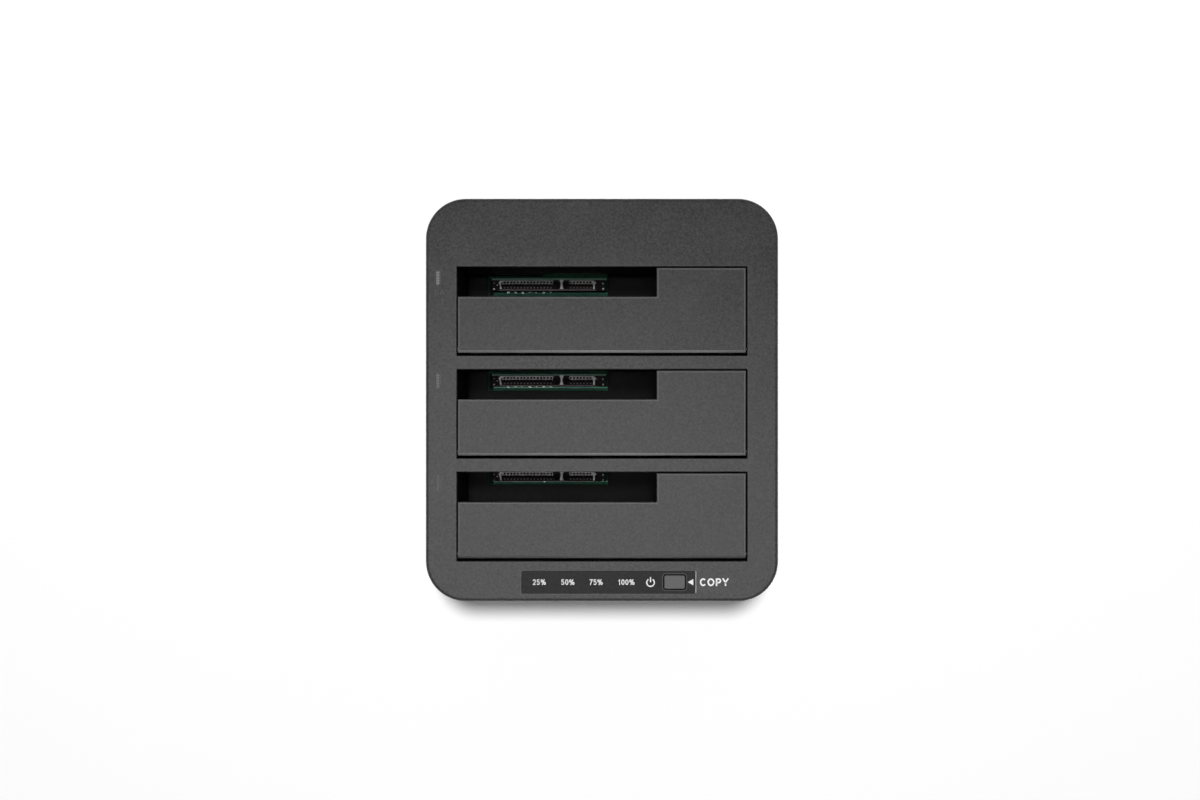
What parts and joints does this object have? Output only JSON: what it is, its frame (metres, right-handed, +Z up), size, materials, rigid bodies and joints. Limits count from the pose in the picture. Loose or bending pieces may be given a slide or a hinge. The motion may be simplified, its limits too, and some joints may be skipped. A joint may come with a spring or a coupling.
{
  "type": "drive duplicator dock",
  "caption": "Desktop dock with upright drive bays under sprung L-shaped flaps, a control strip with a copy button, and rear ports.",
  "frame": {"origin": "centre of the footprint, on the surface it stands on", "axes": "+Z up, -Y towards the control strip at the front, +X to the right seen from the front"},
  "size_m": [0.126, 0.144, 0.0643],
  "materials": {
    "shell_plastic": "charcoal, fine moulded grain",
    "flap_plastic": "charcoal, fine moulded grain",
    "well_plastic": "black, smooth moulding",
    "panel_plastic": "smoked, slightly glossy",
    "button_plastic": "mid grey, satin",
    "clear_plastic": "frosted clear light guide",
    "led_plastic": "pale lens",
    "foot_rubber": "matt black",
    "steel": "zinc plated",
    "spring_steel": "drawn wire",
    "board_green": "solder resist over glass fibre",
    "connector_plastic": "black, glass filled",
    "contact_brass": "gold flash",
    "port_steel": "nickel plated sheet",
    "usb_plastic": "blue insert",
    "chip_resin": "moulded resin",
    "capacitor_can": "satin can",
    "ribbon_grey": "grey insulation",
    "rocker_plastic": "black, satin"
  },
  "bodies": {
    "housing": {"top_housing": "shell_plastic", "bottom_cover": "shell_plastic", "rubber_feet": "foot_rubber", "case_screws": "steel", "steel_weight": "steel", "weight_screws": "steel", "well_screws": "steel", "board_screws": "steel", "main_board": "board_green", "bay_leds": "led_plastic", "indicator_panel": "panel_plastic", "indicator_light_guide": "clear_plastic", "indicator_leds": "led_plastic", "control_board": "board_green", "control_board_screws": "steel", "button_switch": "connector_plastic", "ribbon_headers": "connector_plastic", "ribbon_cable": "ribbon_grey", "usb_shell": "port_steel", "usb_insert": "usb_plastic", "power_jack": "connector_plastic", "power_jack_pin": "port_steel", "rocker_switch_body": "rocker_plastic", "switch_blades": "contact_brass", "switch_wires": "connector_plastic", "terminal_block": "connector_plastic", "capacitors": "capacitor_can", "inductor": "chip_resin", "controller_chip": "chip_resin", "bridge_chips": "chip_resin", "drive_well_1": "well_plastic", "flap_hinge_rod_1": "steel", "flap_spring_1": "spring_steel", "drive_connector_1": "connector_plastic", "connector_contacts_1": "contact_brass", "bay_light_pipe_1": "clear_plastic", "drive_well_2": "well_plastic", "flap_hinge_rod_2": "steel", "flap_spring_2": "spring_steel", "drive_connector_2": "connector_plastic", "connector_contacts_2": "contact_brass", "bay_light_pipe_2": "clear_plastic", "drive_well_3": "well_plastic", "flap_hinge_rod_3": "steel", "flap_spring_3": "spring_steel", "drive_connector_3": "connector_plastic", "connector_contacts_3": "contact_brass", "bay_light_pipe_3": "clear_plastic"},
    "button": {"copy_button": "button_plastic", "switch_plunger": "rocker_plastic"},
    "rocker": {"power_rocker": "rocker_plastic"},
    "flap_1": {"bay_flap_1": "flap_plastic"},
    "flap_2": {"bay_flap_2": "flap_plastic"},
    "flap_3": {"bay_flap_3": "flap_plastic"}
  },
  "joints": [
    {"name": "flap_1_hinge", "type": "hinge", "parent": "housing", "child": "flap_1", "pos_m": [0, 0.0182, 0.06095], "axis": [-1, 0, 0], "range_deg": [0, 90], "stiffness_Nm_per_rad": 0.004, "springref_deg": -45.84, "deforming": ["flap_spring_1"]},
    {"name": "flap_2_hinge", "type": "hinge", "parent": "housing", "child": "flap_2", "pos_m": [0, -0.0185, 0.06095], "axis": [-1, 0, 0], "range_deg": [0, 90], "stiffness_Nm_per_rad": 0.004, "springref_deg": -45.84, "deforming": ["flap_spring_2"]},
    {"name": "flap_3_hinge", "type": "hinge", "parent": "housing", "child": "flap_3", "pos_m": [0, -0.0552, 0.06095], "axis": [-1, 0, 0], "range_deg": [0, 90], "stiffness_Nm_per_rad": 0.004, "springref_deg": -45.84, "deforming": ["flap_spring_3"]},
    {"name": "copy_button_press", "type": "slide", "parent": "housing", "child": "button", "axis": [0, 0, -1], "range_m": [0, 0.0006], "stiffness_N_per_m": 1200, "springref_m": -0.0004},
    {"name": "power_rocker_tilt", "type": "hinge", "parent": "housing", "child": "rocker", "pos_m": [-0.027, 0.0678, 0.0245], "axis": [0, 0, 1], "range_deg": [0, 16]}
  ]
}
